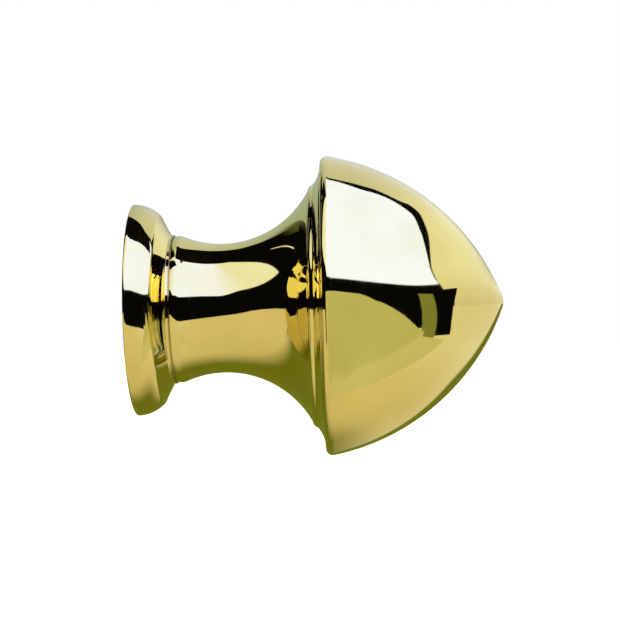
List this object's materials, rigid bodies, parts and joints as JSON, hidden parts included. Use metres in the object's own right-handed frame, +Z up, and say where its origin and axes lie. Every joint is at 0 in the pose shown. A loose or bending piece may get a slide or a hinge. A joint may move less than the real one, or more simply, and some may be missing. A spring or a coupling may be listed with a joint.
{
  "type": "curtain pole finial",
  "caption": "Turned brass curtain pole finial: a domed, pointed head on a waisted neck and moulded flange, with a blind socket that a grub screw fixes to a round pole.",
  "frame": {"origin": "centre of the socket's mouth, in the plane of the rim", "axes": "+X along the pole and out through the tip, +Z up, +Y towards the wall behind the pole, where the grub screw is"},
  "size_m": [0.0678, 0.055, 0.055],
  "materials": {
    "polished_brass": "mirror polished, lightly lacquered",
    "screw_steel": "plain machined"
  },
  "bodies": {
    "root": {"finial_body": "polished_brass", "grub_screw": "screw_steel"}
  },
  "joints": []
}
